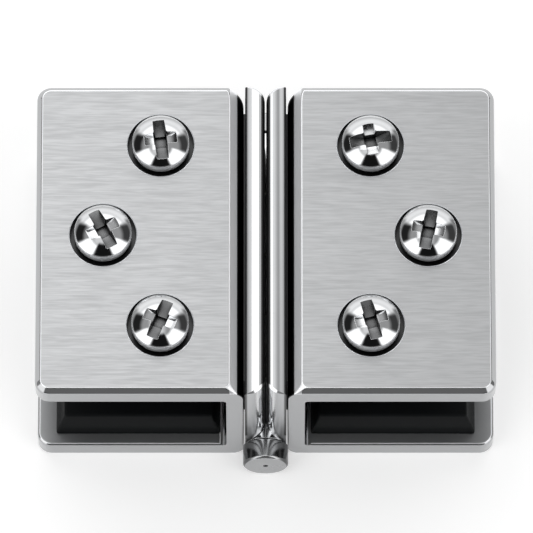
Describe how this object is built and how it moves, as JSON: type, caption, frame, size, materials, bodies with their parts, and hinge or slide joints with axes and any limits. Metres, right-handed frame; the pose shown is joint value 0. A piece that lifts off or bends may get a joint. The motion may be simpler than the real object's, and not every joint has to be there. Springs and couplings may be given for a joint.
{
  "type": "glass door hinge",
  "caption": "Glass door hinge with screw clamps that hold panel edges between rubber pads, carried on polished face-to-face hinge plates that turn on a capped pin.",
  "frame": {"origin": "under the pin, half way along it, on the plane of the two back faces", "axes": "+X across the leaves to the right leaf, +Y along the pin to its far end, +Z out of the brushed front faces"},
  "size_m": [0.0644, 0.053, 0.0263],
  "materials": {
    "brushed_steel": "brushed faces, polished bevels, satin ends",
    "polished_steel": "polished",
    "screw_steel": "polished domed heads",
    "plated_steel": "zinc plated",
    "plain_steel": "rolled",
    "rubber": "smooth black",
    "nylon": "natural"
  },
  "bodies": {
    "right_leaf": {"hinge_pin": "polished_steel", "knuckle_washer_1": "nylon", "knuckle_washer_2": "nylon", "knuckle_washer_3": "nylon", "knuckle_washer_4": "nylon", "pin_end_cap": "polished_steel", "right_back_pad": "rubber", "right_clamp": "brushed_steel", "right_hinge_plate": "polished_steel", "right_plate_screw_lower": "plated_steel", "right_plate_screw_upper": "plated_steel"},
    "left_leaf": {"left_back_pad": "rubber", "left_clamp": "brushed_steel", "left_hinge_plate": "polished_steel", "left_plate_screw_lower": "plated_steel", "left_plate_screw_upper": "plated_steel"},
    "right_pressure": {"right_clamp_screw_lower": "screw_steel", "right_clamp_screw_middle": "screw_steel", "right_clamp_screw_upper": "screw_steel", "right_front_pad": "rubber", "right_pressure_plate": "plain_steel"},
    "left_pressure": {"left_clamp_screw_lower": "screw_steel", "left_clamp_screw_middle": "screw_steel", "left_clamp_screw_upper": "screw_steel", "left_front_pad": "rubber", "left_pressure_plate": "plain_steel"}
  },
  "joints": [
    {"name": "leaf_hinge", "type": "hinge", "parent": "right_leaf", "child": "left_leaf", "pos_m": [0, 0, 0.0032], "axis": [0, -1, 0], "range_deg": [0, 90]},
    {"name": "right_clamp_travel", "type": "slide", "parent": "right_leaf", "child": "right_pressure", "axis": [0, 0, -1], "range_m": [0, 0.0013]},
    {"name": "left_clamp_travel", "type": "slide", "parent": "left_leaf", "child": "left_pressure", "axis": [0, 0, -1], "range_m": [0, 0.0013]}
  ]
}
